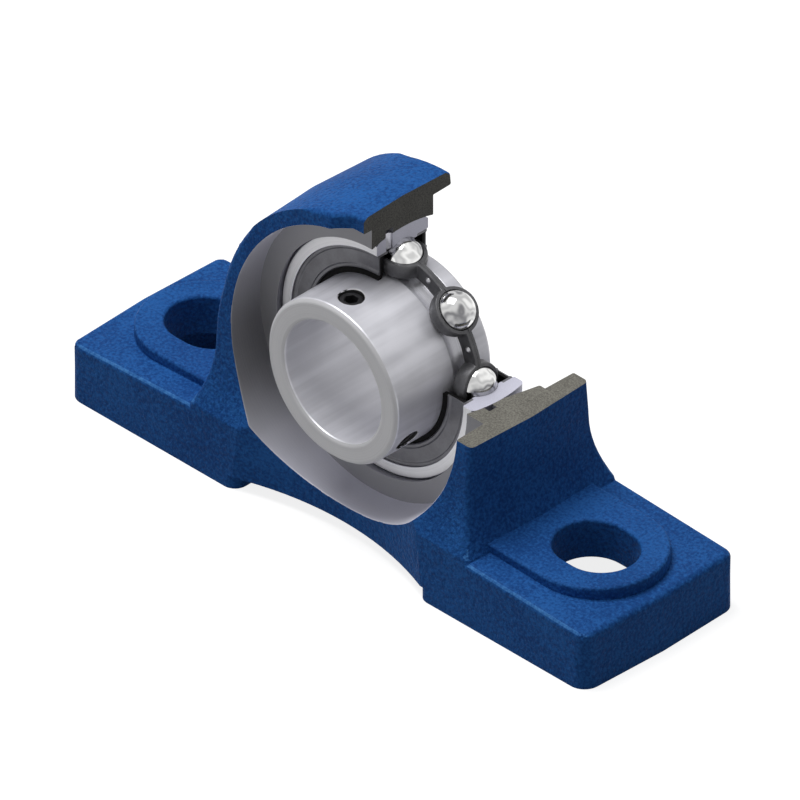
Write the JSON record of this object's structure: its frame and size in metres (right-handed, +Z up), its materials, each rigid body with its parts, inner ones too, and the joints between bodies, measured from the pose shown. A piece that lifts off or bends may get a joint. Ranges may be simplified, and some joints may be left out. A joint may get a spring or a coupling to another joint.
{
  "type": "pillow block bearing",
  "caption": "Blue two-bolt pillow block bearing with a self-aligning ball insert, a quarter cut away to show the balls and cage.",
  "frame": {"origin": "centre of the mounting face, in the middle of the bounding box's bottom", "axes": "+X along the base towards the foot on the cut side, +Y along the shaft away from the inner ring's long end, +Z up"},
  "size_m": [0.163, 0.048, 0.0824],
  "materials": {
    "housing_paint": "fine-grained satin blue paint on cast iron, bare grey iron on the cut faces and in the bore",
    "ring_steel": "ground light grey bearing steel",
    "ball_steel": "mirror-polished steel",
    "cage_steel": "dull dark pressed steel",
    "rivet_steel": "plain light grey steel",
    "shield_steel": "satin dark grey pressed steel with brighter rolled beads",
    "lip_rubber": "matte black nitrile rubber",
    "screw_steel": "black oxide steel"
  },
  "bodies": {
    "housing": {"housing": "housing_paint"},
    "insert": {"outer_ring": "ring_steel", "seal_front_shield": "shield_steel", "seal_front_lip": "lip_rubber", "seal_rear_shield": "shield_steel", "seal_rear_lip": "lip_rubber"},
    "inner": {"inner_ring": "ring_steel", "set_screw_top": "screw_steel", "set_screw_side": "screw_steel"},
    "cage": {"cage_front": "cage_steel", "cage_rear": "cage_steel", "cage_rivets": "rivet_steel"},
    "ball_1_body": {"ball_1": "ball_steel"},
    "ball_2_body": {"ball_2": "ball_steel"},
    "ball_3_body": {"ball_3": "ball_steel"},
    "ball_4_body": {"ball_4": "ball_steel"},
    "ball_5_body": {"ball_5": "ball_steel"},
    "ball_6_body": {"ball_6": "ball_steel"},
    "ball_7_body": {"ball_7": "ball_steel"},
    "ball_8_body": {"ball_8": "ball_steel"}
  },
  "joints": [
    {"name": "align_swivel", "type": "hinge", "parent": "housing", "child": "insert", "pos_m": [0, 0, 0.0429], "axis": [0, 0, 1], "range_deg": [-2, 2]},
    {"name": "inner_spin", "type": "hinge", "parent": "insert", "child": "inner", "pos_m": [0, 0, 0.0429], "axis": [0, 1, 0], "continuous": true},
    {"name": "cage_spin", "type": "hinge", "parent": "insert", "child": "cage", "pos_m": [0, 0, 0.0429], "axis": [0, 1, 0], "continuous": true},
    {"name": "ball_1_roll", "type": "hinge", "parent": "cage", "child": "ball_1_body", "pos_m": [0.023, 0, 0.0429], "axis": [0, 1, 0], "continuous": true},
    {"name": "ball_2_roll", "type": "hinge", "parent": "cage", "child": "ball_2_body", "pos_m": [0.01626, 0, 0.05916], "axis": [0, 1, 0], "continuous": true},
    {"name": "ball_3_roll", "type": "hinge", "parent": "cage", "child": "ball_3_body", "pos_m": [0, 0, 0.0659], "axis": [0, 1, 0], "continuous": true},
    {"name": "ball_4_roll", "type": "hinge", "parent": "cage", "child": "ball_4_body", "pos_m": [-0.01626, 0, 0.05916], "axis": [0, 1, 0], "continuous": true},
    {"name": "ball_5_roll", "type": "hinge", "parent": "cage", "child": "ball_5_body", "pos_m": [-0.023, 0, 0.0429], "axis": [0, 1, 0], "continuous": true},
    {"name": "ball_6_roll", "type": "hinge", "parent": "cage", "child": "ball_6_body", "pos_m": [-0.01626, 0, 0.02664], "axis": [0, 1, 0], "continuous": true},
    {"name": "ball_7_roll", "type": "hinge", "parent": "cage", "child": "ball_7_body", "pos_m": [0, 0, 0.0199], "axis": [0, 1, 0], "continuous": true},
    {"name": "ball_8_roll", "type": "hinge", "parent": "cage", "child": "ball_8_body", "pos_m": [0.01626, 0, 0.02664], "axis": [0, 1, 0], "continuous": true}
  ],
  "couplings": [
    {"joint": "cage_spin", "follows": "inner_spin", "ratio": 0.39647}
  ]
}
